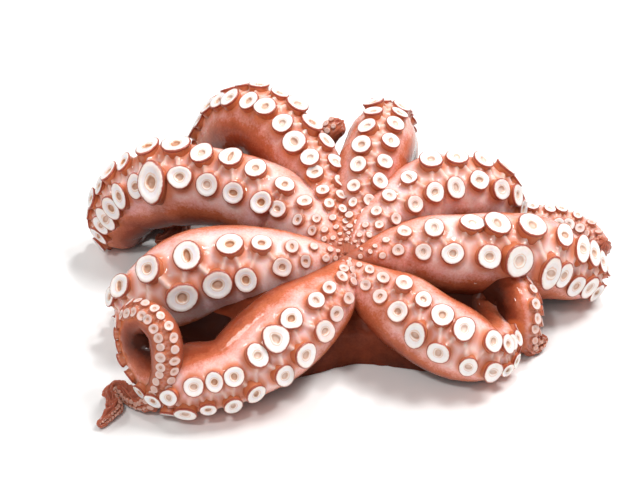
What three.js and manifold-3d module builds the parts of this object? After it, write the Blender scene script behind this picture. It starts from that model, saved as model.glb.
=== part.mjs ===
// A whole boiled octopus, served mouth up: the bag of its head lies on the table under a
// crown of eight arms, which arch outwards over it and come down to the table, with their
// thin ends curled back underneath. Two rows of suckers run along the upper side of each arm.
//
// Millimetres, +Z up. X is the long way across, -Y is the front, and the origin is on the
// table under the middle of the octopus.

import * as THREE from 'three';
import { mergeVertices } from 'three/addons/utils/BufferGeometryUtils.js';
import Module from 'manifold-3d';

// ---- Driving dimensions --------------------------------------------------------------

// The table below is measured from a point near the mouth. This is the middle of the
// octopus in that table, and the origin moves there.
const MIDDLE = [19, 6.4];

// One station of an arm: where its axis passes, how thick the arm is there, and how far the
// sucker side is turned about the axis, in degrees, from the way the crown faces.
// [x, y, z, radius, turn]
const ARMS = {
  back_left: [
    [11, -9, 44, 15, 12], [-2, 34, 57, 21, 15], [-14, 54, 67, 23, 15], [-27, 70, 74, 23, 15],
    [-42, 85, 73, 22, 10], [-56, 98, 60, 20, 5], [-65, 110, 38, 17, -5], [-60, 120, 19, 14, -10],
    [-41, 124, 11, 11, 20], [-19, 122, 19, 10, 60], [-3, 117, 34, 9, 120], [5, 114, 48, 8, 160],
    [15, 117, 57, 6, 160],
  ],
  left: [
    [8, -13, 44, 15, -5], [-17, 17, 52, 22, -15], [-38, 27, 57, 23, -12], [-64, 36, 58, 23, -6],
    [-92, 45, 54, 24, -7], [-113, 49, 43, 22, -14], [-125, 52, 27, 18, -20], [-126, 58, 14, 15, -20],
    [-119, 70, 10, 11, -10], [-105, 76, 10, 9, 0], [-94, 68, 9, 8, 0], [-95, 55, 8, 6, 0],
    [-106, 53, 5, 3, 0],
  ],
  front_left: [
    [8, -25, 44, 15, -5], [-8, -28, 46, 19, -9], [-32, -32, 47, 23, -14], [-57, -33, 46, 25, -20],
    [-80, -36, 40, 25, -22], [-97, -35, 29, 21, -20], [-106, -27, 18, 15, -15], [-103, -12, 11, 11, 0],
    [-90, -3, 8, 8, 0], [-75, -6, 7, 6, 0], [-68, -18, 5, 3, 0],
  ],
  front: [
    [12, -33, 42, 15, -20], [2, -55, 39, 19, -28], [-15, -72, 34, 23, -35],
    [-32, -85, 27, 23, -43], [-51, -97, 22, 19, -55], [-69, -100, 20, 18, -65],
    [-82, -96, 19, 17, -90],
    [-92, -92, 27, 14, -125], [-99, -88, 39, 12, -145], [-99, -88, 50, 10, -145],
    [-92, -93, 56, 9, -140], [-85, -100, 52, 9, -140], [-83, -105, 41, 9, -135],
    [-85, -107, 28, 8, -130], [-90, -106, 15, 7, -120], [-97, -104, 7, 5, -110],
    [-105, -99, 5, 4.5, -110], [-112, -92, 6, 4, -100], [-117, -93, 5, 4, -100],
    [-116, -101, 4, 3.5, -100], [-114, -108, 4, 3.5, -100], [-122, -121, 3, 2, -100],
  ],
  front_right: [
    [20, -35, 42, 15, 10], [32, -47, 38, 18, 5], [47, -57, 33, 21, 8], [65, -68, 27, 21, 18],
    [82, -74, 22, 20, 25], [93, -70, 16, 17, 25], [101, -56, 13, 13, 20], [99, -41, 14, 11, 20],
    [95, -30, 19, 10, 30], [100, -26, 27, 10, 70], [110, -35, 31, 11, 120], [116, -45, 26, 11, 155],
    [119, -53, 13, 8, 170], [122, -54, 5, 5, 170], [129, -50, 4, 3.5, 180], [131, -45, 7, 2, 180],
  ],
  right: [
    [22, -26, 44, 15, 2], [40, -20, 44, 20, 4], [61, -17, 45, 23, 5], [85, -17, 45, 24, 6],
    [109, -10, 41, 24, 14], [133, -7, 34, 23, 20], [152, -4, 23, 18, 26], [156, 8, 13, 13, 25],
    [145, 18, 9, 9, 10], [131, 18, 8, 8, 0], [122, 8, 6, 6, 0], [125, -4, 4, 3, 0],
  ],
  back_right: [
    [21, -16, 45, 15, 4], [33, -1, 51, 18, 6], [50, 13, 57, 22, 7], [70, 25, 60, 23, 7],
    [88, 31, 57, 22, 2], [100, 36, 47, 21, 0], [107, 43, 29, 18, 0], [117, 50, 17, 15.5, 0],
    [135, 54, 16, 14.5, 0], [154, 57, 13, 13, 0], [170, 52, 11, 10, 0], [177, 41, 10, 7, 0], [176, 32, 16, 5, 0],
    [177, 28, 23, 3, 0],
  ],
  back: [
    [17, -9, 45, 15, 3], [22, 12, 53, 17, 5], [28, 29, 64, 20, 5], [34, 46, 73, 21, 3],
    [38, 65, 73, 21, 0], [42, 84, 61, 20, 0], [45, 99, 42, 18, 0], [41, 109, 23, 14, 0],
    [26, 112, 11, 11, 0], [9, 105, 8, 8, 0], [2, 92, 6, 6, 0], [9, 82, 5, 3, 0],
  ],
};

// The way the crown faces before the arms bend: up and a little to the front.
const CROWN_FACES = new THREE.Vector3(0, -0.5, 0.87);

const SAMPLES_PER_SPAN = 24;   // points from one station to the next
const ARM_SIDES = 10;
const RING_STEP = { perRadius: 0.65, least: 4.5, most: 12 };

// Suckers start this far from the mouth and grow from SMALL_AT_MOUTH of their full width to
// all of it over GROW_LENGTH from GROW_FROM. Full width is a share of the arm's radius.
const SUCKER_START = 14;
const SUCKER_WIDTH = 0.6;
const SMALL_AT_MOUTH = 0.55;
const GROW_FROM = 10;
const GROW_LENGTH = 50;
const SUCKER_STEP = 0.62;      // along the arm, to the next sucker of the other row
const ROW_ANGLE = 0.6;         // of the rows to each side, in radians per width / radius
const SUCKER_SIDES = 7;
const SMALLEST_SUCKER = 10;    // narrower ones are too fine for this solid

// The few enlarged suckers of a grown male: how far along the arm, how much wider, over
// what length.
const ENLARGED = {
  left: [132, 0.35, 18],
  front_left: [108, 0.2, 20],
  right: [98, 0.3, 18],
};

// Rounded bodies under the crown: [x, y, z, half width, half depth, half height].
const BODIES = {
  crown: [12, -4, 34, 44, 46, 26],
  bag: [10, 26, 32, 46, 62, 34],
  front_skin: [26, -40, 8, 36, 30, 30],
};
const BODY_SEGMENTS = [24, 14];

// The skin that joins each arm to the next, going round. It reaches this far along the
// arms, hangs slack between them and closes down towards its keel, a point inside the body:
// at the free edge its underside has risen by a share of the way from the keel to the slack.
const ROUND_THE_MOUTH = [
  'back_left', 'left', 'front_left', 'front', 'front_right', 'right', 'back_right', 'back',
];
const WEB = { reach: 62, steps: 5, slack: 8, hollow: 0.8, rise: 0.5 };
const WEB_KEEL = [12, 0, 8];
// In front the slack hangs down to the table.
const FRONT_WEB = { ...WEB, reach: 58, slack: 20, hollow: 1 };

const SAME_POINT = 1e-4;       // vertices closer than this are one
const SEAM_TOLERANCE = 0.4;    // slivers left where solids join are smoothed off below this
const TABLE_SIZE = 600;        // larger than the octopus

// ---- Arms ----------------------------------------------------------------------------

const smooth = (t) => THREE.MathUtils.smoothstep(t, 0, 1);

// Points close together along an arm, each with its distance from the mouth, the arm's
// direction there, the way its suckers face and its radius.
function followArm(stations) {
  const samples = SAMPLES_PER_SPAN * (stations.length - 1);
  const curve = (pick) => new THREE.CatmullRomCurve3(stations.map(pick), false, 'catmullrom');
  const axis = curve(([x, y, z]) => new THREE.Vector3(x, y, z)).getPoints(samples);
  const girth = curve(([, , , radius, turn]) => new THREE.Vector3(radius, turn, 0)).getPoints(samples);

  let distance = 0;
  let facing = CROWN_FACES;
  return axis.map((point, i) => {
    const before = axis[Math.max(i - 1, 0)];
    const after = axis[Math.min(i + 1, samples)];
    const along = after.clone().sub(before).normalize();
    distance += point.distanceTo(before);
    facing = facing.clone().projectOnPlane(along).normalize();
    const turn = THREE.MathUtils.degToRad(girth[i].y);
    const oral = facing.clone().applyAxisAngle(along, turn);
    return { distance, point, along, oral, radius: girth[i].x };
  });
}

// The sample of a followed arm nearest to a distance from the mouth.
function sampleAt(arm, distance) {
  return arm.find((sample) => sample.distance >= distance) ?? arm.at(-1);
}

// Rings closer together where the arm is thin.
function ringSamples(arm) {
  const length = arm.at(-1).distance;
  const rings = [];
  let distance = 0;
  while (distance < length) {
    const sample = sampleAt(arm, distance);
    rings.push(sample);
    const step = RING_STEP.perRadius * sample.radius;
    distance += THREE.MathUtils.clamp(step, RING_STEP.least, RING_STEP.most);
  }
  return [...rings, arm.at(-1)];
}

// A closed cylinder whose vertices are moved by place(ring, x, z): the ring counts up from
// the cylinder's foot, and x and z lie on its unit circle, or at 0, 0 in its end caps.
function bentCylinder(sides, lastRing, place) {
  const geometry = new THREE.CylinderGeometry(1, 1, 1, sides, lastRing);
  const position = geometry.attributes.position;
  for (let i = 0; i < position.count; i += 1) {
    const ring = Math.round((position.getY(i) + 0.5) * lastRing);
    const placed = place(ring, position.getX(i), position.getZ(i));
    position.setXYZ(i, placed.x, placed.y, placed.z);
  }
  return geometry;
}

function armGeometry(arm) {
  const rings = ringSamples(arm);
  return bentCylinder(ARM_SIDES, rings.length - 1, (ring, x, z) => {
    const { point, along, oral, radius } = rings[ring];
    const side = along.clone().cross(oral);
    return point.clone().addScaledVector(oral, radius * z).addScaledVector(side, radius * x);
  });
}

// ---- Suckers -------------------------------------------------------------------------

// Every sucker of an arm: where its base meets the skin, the way it faces and its width.
function suckerPlaces(name, arm) {
  const length = arm.at(-1).distance;
  const [middle, more, spread] = ENLARGED[name] ?? [0, 0, 1];
  const places = [];
  let side = 1;
  let distance = SUCKER_START;
  while (distance < length) {
    const { point, along, oral, radius } = sampleAt(arm, distance);
    const growth = smooth((distance - GROW_FROM) / GROW_LENGTH);
    const grown = THREE.MathUtils.lerp(SMALL_AT_MOUTH, 1, growth);
    const enlarged = 1 + more * Math.exp(-(((distance - middle) / spread) ** 2));
    const width = SUCKER_WIDTH * radius * grown * enlarged;
    if (width < SMALLEST_SUCKER && distance > GROW_LENGTH) break;
    const facing = oral.clone().applyAxisAngle(along, (side * ROW_ANGLE * width) / radius);
    const base = point.clone().addScaledVector(facing, radius);
    if (width >= SMALLEST_SUCKER) places.push({ base, facing, width });
    side = -side;
    distance += SUCKER_STEP * width;
  }
  return places;
}

// A dished disc on a short stalk that starts under the skin, for a width of 1.
const SUCKER_PROFILE = [[0, -0.25], [0.4, -0.25], [0.5, 0.2], [0, 0.1]];

function suckerGeometry({ base, facing, width }) {
  const profile = SUCKER_PROFILE.map(([x, y]) => new THREE.Vector2(x, y));
  const geometry = new THREE.LatheGeometry(profile, SUCKER_SIDES);
  const upright = new THREE.Vector3(0, 1, 0);
  const placing = new THREE.Matrix4().compose(
    base,
    new THREE.Quaternion().setFromUnitVectors(upright, facing),
    new THREE.Vector3(width, width, width),
  );
  return geometry.applyMatrix4(placing);
}

// ---- Bodies and webs -----------------------------------------------------------------

function bodyGeometry([x, y, z, halfWidth, halfDepth, halfHeight]) {
  return new THREE.SphereGeometry(1, ...BODY_SEGMENTS)
    .rotateX(Math.PI / 2)
    .scale(halfWidth, halfDepth, halfHeight)
    .translate(x, y, z);
}

// A wedge of four sides: one edge on each arm's axis, one slack between them, and the keel.
// Its foot is at the mouth, and the cap at its far end is the web's free edge.
function webGeometry(arm, next, { reach, steps, slack, hollow, rise }) {
  const keel = new THREE.Vector3(...WEB_KEEL);
  const middle = (distance) => {
    const between = sampleAt(arm, distance).point.clone().lerp(sampleAt(next, distance).point, 0.5);
    return between.setZ(between.z - slack * smooth(distance / reach));
  };
  return bentCylinder(4, steps, (ring, x, z) => {
    const distance = (reach * ring) / steps;
    const edges = {
      arm: sampleAt(arm, distance).point,
      next: sampleAt(next, distance).point,
      slack: middle(hollow * distance),
    };
    const low = keel.clone().lerp(edges.slack, rise * smooth(distance / reach));
    const isCapMiddle = x === 0 && z === 0;
    if (isCapMiddle) return low.clone().add(edges.slack).divideScalar(2);
    if (Math.abs(z) > Math.abs(x)) return z > 0 ? edges.slack : low;
    return x > 0 ? edges.arm : edges.next;
  });
}

// ---- Joining into one solid ----------------------------------------------------------

const manifold = await Module();
manifold.setup();

function solidOf(geometry) {
  geometry.deleteAttribute('normal');
  geometry.deleteAttribute('uv');
  const merged = mergeVertices(geometry, SAME_POINT);
  return new manifold.Manifold(new manifold.Mesh({
    numProp: 3,
    vertProperties: new Float32Array(merged.attributes.position.array),
    triVerts: new Uint32Array(merged.index.array),
  }));
}

function geometryOf(solid) {
  const { vertProperties, triVerts } = solid.getMesh();
  const geometry = new THREE.BufferGeometry();
  geometry.setAttribute('position', new THREE.BufferAttribute(vertProperties, 3));
  geometry.setIndex(new THREE.BufferAttribute(triVerts, 1));
  geometry.computeVertexNormals();
  return geometry;
}

// All that is above the table, as a box.
function aboveTable() {
  return new THREE.BoxGeometry(TABLE_SIZE, TABLE_SIZE, TABLE_SIZE).translate(0, 0, TABLE_SIZE / 2);
}

function buildOctopus() {
  const arms = ROUND_THE_MOUTH.map((name) => followArm(ARMS[name]));
  const webs = arms.map((arm, i) => {
    const isFront = ROUND_THE_MOUTH[i] === 'front';
    return webGeometry(arm, arms[(i + 1) % arms.length], isFront ? FRONT_WEB : WEB);
  });
  const suckers = arms.flatMap((arm, i) => suckerPlaces(ROUND_THE_MOUTH[i], arm));
  const pieces = [
    ...Object.values(BODIES).map(bodyGeometry),
    ...arms.map(armGeometry),
    ...webs,
    ...suckers.map(suckerGeometry),
  ];
  const joined = pieces.map(solidOf).reduce((whole, piece) => whole.add(piece));
  const standing = joined.intersect(solidOf(aboveTable())).simplify(SEAM_TOLERANCE);
  return geometryOf(standing).translate(-MIDDLE[0], -MIDDLE[1], 0);
}

// ---- The scene graph -----------------------------------------------------------------

const skin = new THREE.MeshStandardMaterial({ color: 0xd98a6c, roughness: 0.35, metalness: 0 });

const octopus = new THREE.Mesh(buildOctopus(), skin);
octopus.name = 'octopus';

const part = new THREE.Group();
part.name = 'whole_octopus';
part.add(octopus);

export default part;
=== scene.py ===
# %% [markdown]
# # A whole boiled octopus, served mouth up
#
# The octopus lies on the bag of its head, with the mouth on top and eight arms arching outwards
# and down to the table. This lesson builds it in Blender around a fixed frame: a plain solid of
# the same octopus, in metres, with +Z up and -Y to the front.
#
# Almost all of it comes from one idea. An arm is a round profile carried along a curved path, a
# sucker is a profile turned about its own axis, and the body is a distance in every direction
# from one point. Each is a formula of two parameters, so numpy works it out as whole arrays.

import bpy
import numpy as np
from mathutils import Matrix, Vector


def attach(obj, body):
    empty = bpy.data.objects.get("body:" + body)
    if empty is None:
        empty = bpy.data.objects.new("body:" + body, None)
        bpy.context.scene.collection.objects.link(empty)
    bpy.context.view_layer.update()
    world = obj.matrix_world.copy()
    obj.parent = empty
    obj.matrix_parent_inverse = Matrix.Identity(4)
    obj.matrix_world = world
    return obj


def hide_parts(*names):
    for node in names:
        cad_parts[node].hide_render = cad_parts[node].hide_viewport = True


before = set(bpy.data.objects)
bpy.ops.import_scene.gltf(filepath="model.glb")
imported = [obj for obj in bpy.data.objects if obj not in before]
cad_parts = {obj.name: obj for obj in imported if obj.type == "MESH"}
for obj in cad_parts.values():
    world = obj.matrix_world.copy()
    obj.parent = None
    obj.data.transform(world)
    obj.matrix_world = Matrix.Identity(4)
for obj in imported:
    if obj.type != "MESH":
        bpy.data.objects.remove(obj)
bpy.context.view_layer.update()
print("frame nodes:", sorted(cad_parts))

# %% [markdown]
# ## The paths of the arms
#
# A boiled arm curls where it likes, so no formula gives its path. It could be drawn as a curve
# object and bent by eye, but a short table is easier to check: each row is one station, with the
# place of the arm's axis in millimetres, its radius there, and how far its sucker side is turned.
# The frame's solid follows the same table.

# %% Stations of the eight arms
MM = 0.001
MIDDLE = np.array([19.0, 6.4, 0.0])  # of the octopus in this table; the origin moves there
MOUTH = [15, -28, 43, 12]  # where all arms start: x, y, z and their radius
CROWN_FACES = np.array([0.0, -0.5, 0.87])  # up, and a little to the front

ARMS = {  # x, y, z, radius, and degrees of turn, from the mouth to the tip
    "back_left": [
        [11, -9, 44, 15, 12], [-2, 34, 57, 21, 15], [-14, 54, 67, 23, 15], [-27, 70, 74, 23, 15],
        [-42, 85, 73, 22, 10], [-56, 98, 60, 20, 5], [-65, 110, 38, 17, -5], [-60, 120, 19, 14, -10],
        [-41, 124, 11, 11, 20], [-19, 122, 19, 10, 60], [-3, 117, 34, 9, 120], [5, 114, 48, 8, 160],
        [15, 117, 57, 6, 160],
    ],
    "left": [
        [8, -13, 44, 15, -5], [-17, 17, 52, 22, -15], [-38, 27, 57, 23, -12], [-64, 36, 58, 23, -6],
        [-92, 45, 54, 24, -7], [-113, 49, 43, 22, -14], [-125, 52, 27, 18, -20],
        [-126, 58, 14, 15, -20], [-119, 70, 10, 11, -10], [-105, 76, 10, 9, 0], [-94, 68, 9, 8, 0],
        [-95, 55, 8, 6, 0], [-106, 53, 5, 3, 0],
    ],
    "front_left": [
        [8, -25, 44, 15, -5], [-8, -28, 46, 19, -9], [-32, -32, 47, 23, -14],
        [-57, -33, 46, 25, -20], [-80, -36, 40, 25, -22], [-97, -35, 29, 21, -20],
        [-106, -27, 18, 15, -15], [-103, -12, 11, 11, 0], [-90, -3, 8, 8, 0], [-75, -6, 7, 6, 0],
        [-68, -18, 5, 3, 0],
    ],
    "front": [
        [12, -33, 42, 15, -20], [2, -55, 39, 19, -28], [-15, -72, 34, 23, -35],
        [-32, -85, 27, 23, -43], [-51, -97, 22, 19, -55], [-69, -100, 20, 18, -65],
        [-82, -96, 19, 17, -90], [-92, -92, 27, 14, -125], [-99, -88, 39, 12, -145],
        [-99, -88, 50, 10, -145], [-92, -93, 56, 9, -140], [-85, -100, 52, 9, -140],
        [-83, -105, 41, 9, -135], [-85, -107, 28, 8, -130], [-90, -106, 15, 7, -120],
        [-97, -104, 7, 5, -110], [-105, -99, 5, 4.5, -110], [-112, -92, 6, 4, -100],
        [-117, -93, 5, 4, -100], [-116, -101, 4, 3.5, -100], [-114, -108, 4, 3.5, -100],
        [-122, -121, 3, 2, -100],
    ],
    "front_right": [
        [20, -35, 42, 15, 10], [32, -47, 38, 18, 5], [47, -57, 33, 21, 8], [65, -68, 27, 21, 18],
        [82, -74, 22, 20, 25], [93, -70, 16, 17, 25], [101, -56, 13, 13, 20], [99, -41, 14, 11, 20],
        [95, -30, 19, 10, 30], [100, -26, 27, 10, 70], [110, -35, 31, 11, 120],
        [116, -45, 26, 11, 155], [119, -53, 13, 8, 170], [122, -54, 5, 5, 170],
        [129, -50, 4, 3.5, 180], [131, -45, 7, 2, 180],
    ],
    "right": [
        [22, -26, 44, 15, 2], [40, -20, 44, 20, 4], [61, -17, 45, 23, 5], [85, -17, 45, 24, 6],
        [109, -10, 41, 24, 14], [133, -7, 34, 23, 20], [152, -4, 23, 18, 26], [156, 8, 13, 13, 25],
        [145, 18, 9, 9, 10], [131, 18, 8, 8, 0], [122, 8, 6, 6, 0], [125, -4, 4, 3, 0],
    ],
    "back_right": [
        [21, -16, 45, 15, 4], [33, -1, 51, 18, 6], [50, 13, 57, 22, 7], [70, 25, 60, 23, 7],
        [88, 31, 57, 22, 2], [100, 36, 47, 21, 0], [107, 43, 29, 18, 0], [117, 50, 17, 15.5, 0],
        [135, 54, 16, 14.5, 0], [154, 57, 13, 13, 0], [170, 52, 11, 10, 0], [177, 41, 10, 7, 0],
        [176, 32, 16, 5, 0], [177, 28, 23, 3, 0],
    ],
    "back": [
        [17, -9, 45, 15, 3], [22, 12, 53, 17, 5], [28, 29, 64, 20, 5], [34, 46, 73, 21, 3],
        [38, 65, 73, 21, 0], [42, 84, 61, 20, 0], [45, 99, 42, 18, 0], [41, 109, 23, 14, 0],
        [26, 112, 11, 11, 0], [9, 105, 8, 8, 0], [2, 92, 6, 6, 0], [9, 82, 5, 3, 0],
    ],
}
print("stations:", {name: len(rows) for name, rows in ARMS.items()})

# %% [markdown]
# ## A smooth path with a sucker side
#
# A path needs more than points. To carry a round profile along it, each point also needs the
# direction of the arm and the direction its suckers face. Blender's own curves give both, but
# their twist is hard to predict. Here the facing is handed on from point to point and only loses
# what points along the arm, so that it never twists by itself. Then the table's turn is added.

# %% Helpers for numbers and vectors
def unit(vectors):
    """v / |v| along the last axis."""
    return vectors / np.linalg.norm(vectors, axis=-1, keepdims=True)


def smooth(t):
    """3 t^2 - 2 t^3 with t held between 0 and 1: an easy start and an easy end."""
    t = np.clip(t, 0, 1)
    return t * t * (3 - 2 * t)


def fading(x, start, length):
    """1 up to start, then an easy fall to 0: 1 - smooth((x - start) / length)."""
    return 1 - smooth((x - start) / length)


def turned(vectors, axes, angles):
    """v cos(w) + (k x v) sin(w): v turned by w about an axis k that is square to it."""
    return vectors * np.cos(angles)[:, None] + np.cross(axes, vectors) * np.sin(angles)[:, None]


print("an easy fall from 1 to 0:", fading(np.linspace(0, 1, 5), 0, 1))

# %% A curve through the stations
SAMPLES_PER_SPAN = 40


def spline(stations):
    """A curve through the stations. Between b and c, with a before and d after, and t from 0 to 1:
    p = (2b + (c - a) t + (2a - 5b + 4c - d) t^2 + (3b - a - 3c + d) t^3) / 2
    """
    ends = 2 * stations[0] - stations[1], 2 * stations[-1] - stations[-2]
    padded = np.vstack([ends[0], stations, ends[1]])
    spans = len(stations) - 1
    place = np.linspace(0, spans, SAMPLES_PER_SPAN * spans + 1)
    first = np.minimum(place.astype(int), spans - 1)
    t = (place - first)[:, None]
    a, b, c, d = (padded[first + k] for k in range(4))
    return (2 * b + (c - a) * t + (2 * a - 5 * b + 4 * c - d) * t**2 + (3 * b - a - 3 * c + d) * t**3) / 2


# %% Follow an arm
BEND_WINDOW = 15  # samples, about 7 mm, that the bend is averaged over
ROOT_RADIUS = 3.0  # millimetres at the mouth
ROOT_SPREAD = {  # millimetres of radius for each millimetre from the mouth
    "back_left": 0.34, "left": 0.42, "front_left": 0.5, "front": 0.6,
    "front_right": 0.6, "right": 0.5, "back_right": 0.4, "back": 0.34,
}


def follow(name):
    """Samples along an arm: distance from its first station (negative nearer the mouth), point,
    direction along, the way its suckers face, radius, and bend, which is the change of direction
    for each millimetre and points to the inside of the curve.

    Eight arms share the space round the mouth, so the radius is (r^-6 + m^-6)^(-1/6), with m the
    most there, ROOT_RADIUS + ROOT_SPREAD s. What this takes off is taken from the underside.
    """
    table = np.array(ARMS[name], float)
    path = spline(np.vstack([MOUTH + [table[0, 4]], table]))
    point = path[:, :3] - MIDDLE
    along = unit(np.gradient(point, axis=0))
    length = np.cumsum(np.linalg.norm(np.diff(point, axis=0, prepend=point[:1]), axis=1))
    bend = np.gradient(along, axis=0) / np.gradient(length)[:, None]
    window = np.ones(BEND_WINDOW) / BEND_WINDOW
    bend = np.stack([np.convolve(column, window, mode="same") for column in bend.T], -1)
    facing = np.tile(CROWN_FACES, (len(point), 1))
    for i in range(SAMPLES_PER_SPAN + 1, len(point)):
        facing[i] = facing[i - 1] - along[i] * (facing[i - 1] @ along[i])
        facing[i] /= np.linalg.norm(facing[i])
    facing = unit(facing - along * np.sum(facing * along, axis=1, keepdims=True))
    oral = turned(facing, along, np.radians(path[:, 4]))
    root = ROOT_RADIUS + ROOT_SPREAD[name] * length
    radius = (path[:, 3] ** -6.0 + root**-6.0) ** (-1 / 6)
    return {
        "name": name,
        "distance": length - length[SAMPLES_PER_SPAN],
        "point": point + oral * (path[:, 3] - radius)[:, None],
        "along": along,
        "oral": oral,
        "radius": radius,
        "bend": bend,
        "seed": 10 * list(ARMS).index(name),
    }


arms = {name: follow(name) for name in ARMS}
print("lengths in millimetres:", {name: round(arm["distance"][-1]) for name, arm in arms.items()})

# %% Read an arm at any distance
def read(arm, key, distances):
    """One of the arm's arrays at distances, read off between its samples."""
    columns = arm[key].reshape(len(arm["distance"]), -1).T
    return np.stack([np.interp(distances, arm["distance"], column) for column in columns], -1)


def at(arm, distances):
    """The arm's point, direction, facing and radius at distances."""
    along = unit(read(arm, "along", distances))
    oral = read(arm, "oral", distances)
    oral = unit(oral - along * np.sum(oral * along, axis=-1, keepdims=True))
    return read(arm, "point", distances), along, oral, read(arm, "radius", distances)[..., 0]


print("radius at 60 mm:", {name: round(float(at(arm, 60)[3]), 1) for name, arm in arms.items()})

# %% [markdown]
# ## Where the suckers sit
#
# Suckers stand in two rows that take turns, so each one lies between two of the other row. They
# are tiny round the mouth, grow fast over the first few centimetres and then follow the arm's
# thickness down to its tip. A grown male has a few enlarged ones. A modifier could scatter them,
# but it wouldn't know the rows, so they are placed by stepping along the arm.

# %% Rules for the suckers
SUCKER_RULE = {  # width as a share of the arm's radius, and step as a share of that width
    "back_left": (0.60, 0.54), "left": (0.62, 0.61), "front_left": (0.65, 0.63), "front": (0.63, 0.53),
    "front_right": (0.63, 0.54), "right": (0.61, 0.62), "back_right": (0.60, 0.59), "back": (0.58, 0.56),
}
AT_MOUTH, GROW_OVER = 0.55, 80  # of that width at the mouth, and the length over which it grows
WIDER_STEPS = 0.7  # how much more of a step round the mouth
LEAST_WIDTH, LEAST_AT_MOUTH = 1.5, 3.0
FIRST, LAST = 6, 2.5  # millimetres from the mouth and short of the tip
LEAST_STRETCH, MOST_STRETCH = 0.75, 2  # that a bend is taken to give the skin
ENLARGED = {  # where, how much wider, over what length
    "left": [(119, 0.5, 7)], "front_left": [(108, 0.15, 20)], "right": [(83, 0.45, 5), (97, 0.25, 10)],
}
CROWDED = {"left": (116, 172), "right": (108, 165)}  # from and to, where the flesh has drawn up
CROWDING, NARROWED = 0.68, 0.78  # of the step there, and of the suckers along the arm
TALL, TALLER = 1.2, 0.4  # than the profile, and how much more round the mouth
ROW_ANGLE, MOST_SHARE = 0.58, 0.68  # radians to a side per width / radius, which counts up to a most
LOOSER, LOOSE_OVER = 1.5, 40  # how much more unevenly they sit round the mouth, and over what length
UNEVEN_STEP, UNEVEN_ANGLE, UNEVEN_WIDTH = 0.05, 0.035, 0.06  # of the width, in radians, of the width
SWELLING = 0.10  # of the skin under a sucker, as a share of its width
PAST_CROWN = 50  # millimetres; what is thin beyond this is thinning to the tip
PINK_AT_MOUTH = 0.75
print("arms with enlarged suckers:", ", ".join(ENLARGED))

# %% Smooth unevenness
LUMPS, LUMP_LENGTH = 0.022, 42  # a share of the radius, and millimetres
EVEN_RADIUS = 14  # millimetres, of the tube that patterns are laid on


def waves(points, length, seed, count=24):
    """Smooth unevenness, mostly from -1 to 1: the sum of cos(2 pi d.p / w + phase) over random
    directions d and wavelengths w near length, times sqrt(2 / count).
    """
    rng = np.random.default_rng(seed)
    total = np.zeros(points.shape[:-1])
    for direction in unit(rng.normal(size=(count, 3))):
        wavelength = length * rng.uniform(0.7, 1.5)
        total += np.cos(points @ direction * 2 * np.pi / wavelength + rng.uniform(0, 2 * np.pi))
    return total * np.sqrt(2 / count)


def unrolled(distance, angle):
    """The skin laid on an even tube: (s, R cos a, R sin a), where patterns keep their size."""
    across = EVEN_RADIUS * np.cos(angle), EVEN_RADIUS * np.sin(angle)
    return np.stack(np.broadcast_arrays(distance, *across), -1)


def lumps(arm, distance, angle, radius):
    """How far the flesh stands off a true tube there, in millimetres."""
    return LUMPS * radius * waves(unrolled(distance, angle), LUMP_LENGTH, arm["seed"])


# %% Widths and steps of the suckers
def crown(arm, distances):
    """1 at the mouth, falling to 0 where the suckers are full-grown."""
    return fading(distances - arm["distance"][0], 0, GROW_OVER)


def sucker_width(arm, distance, radius):
    """The arm's share of r, times 1 - (1 - AT_MOUTH) crown, times 1 + the sum of
    more exp(-((s - middle) / spread)^2) over the enlarged places, and never under the least.
    """
    grown = 1 - (1 - AT_MOUTH) * crown(arm, distance)
    enlarged = 1
    for middle, more, spread in ENLARGED.get(arm["name"], []):
        enlarged += more * np.exp(-(((distance - middle) / spread) ** 2))
    least = LEAST_AT_MOUTH if distance < 0 else LEAST_WIDTH
    return max(SUCKER_RULE[arm["name"]][0] * radius * grown * enlarged, least)


def step_along(arm):
    """Distances, sides (1 or -1) and widths of an arm's suckers, stepping from mouth to tip.

    A step is the arm's share of the width, times CROWDING where the flesh has drawn up, times
    1 + WIDER_STEPS crown. It is measured on the sucker side, which a bend stretches by
    1 - r (bend . oral).
    """
    rows = []
    stretch = 1 - arm["radius"] * np.sum(arm["bend"] * arm["oral"], axis=1)
    start, end = CROWDED.get(arm["name"], (0, 0))
    distance, side = arm["distance"][0] + FIRST, 1
    while distance < arm["distance"][-1] - LAST:
        radius = np.interp(distance, arm["distance"], arm["radius"])
        width = sucker_width(arm, distance, radius)
        rows.append((distance, side, width))
        crowding = CROWDING if start < distance < end else 1
        wider = 1 + WIDER_STEPS * crown(arm, distance)
        step = SUCKER_RULE[arm["name"]][1] * width * crowding * wider
        stretched = np.interp(distance, arm["distance"], stretch)
        distance += step / np.clip(stretched, LEAST_STRETCH, MOST_STRETCH)
        side = -side
    return np.array(rows).T


widest = {name: round(float(step_along(arm)[2].max()), 1) for name, arm in arms.items()}
print("widest suckers in millimetres:", widest)

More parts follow.
